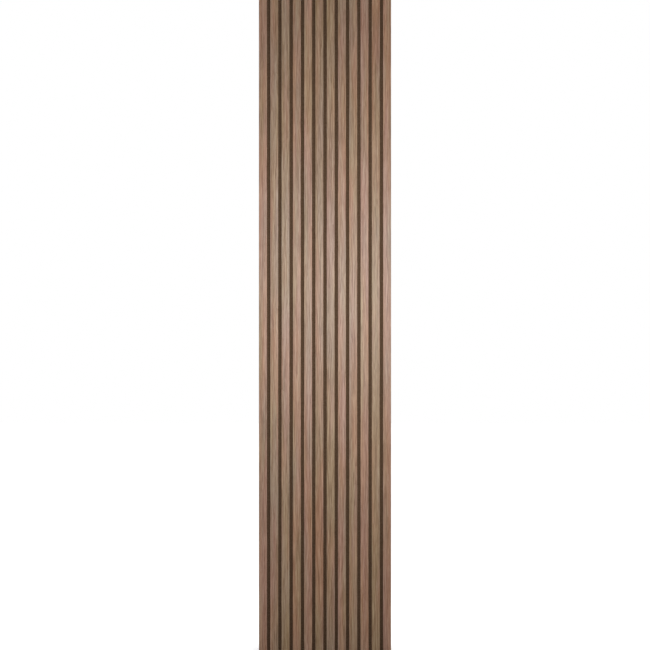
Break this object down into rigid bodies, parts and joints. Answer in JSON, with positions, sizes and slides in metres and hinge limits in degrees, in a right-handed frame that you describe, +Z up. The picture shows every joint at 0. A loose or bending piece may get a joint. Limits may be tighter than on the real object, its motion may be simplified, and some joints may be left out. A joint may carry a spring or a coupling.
{
  "type": "acoustic slat wall panel",
  "caption": "Tall wall panel of veneered fibreboard slats, evenly spaced on a felt board; it covers a wall and damps sound, and is fixed by its flat felt back.",
  "frame": {"origin": "middle of the felt's back face, where the panel lies on the wall", "axes": "+Z up along the slats, +Y out of the back into the wall, +X across the slats to the right as seen from the front"},
  "size_m": [0.527, 0.021, 2.6],
  "materials": {
    "felt": "dark needled felt",
    "slat_core": "raw fibreboard",
    "veneer": "satin lacquer",
    "staple_steel": "galvanised wire"
  },
  "bodies": {
    "root": {"felt_backing": "felt", "slat_core_01": "slat_core", "slat_core_02": "slat_core", "slat_core_03": "slat_core", "slat_core_04": "slat_core", "slat_core_05": "slat_core", "slat_core_06": "slat_core", "slat_core_07": "slat_core", "slat_core_08": "slat_core", "slat_core_09": "slat_core", "slat_core_10": "slat_core", "slat_core_11": "slat_core", "slat_core_12": "slat_core", "slat_veneer_01": "veneer", "slat_veneer_02": "veneer", "slat_veneer_03": "veneer", "slat_veneer_04": "veneer", "slat_veneer_05": "veneer", "slat_veneer_06": "veneer", "slat_veneer_07": "veneer", "slat_veneer_08": "veneer", "slat_veneer_09": "veneer", "slat_veneer_10": "veneer", "slat_veneer_11": "veneer", "slat_veneer_12": "veneer", "staples": "staple_steel"}
  },
  "joints": []
}
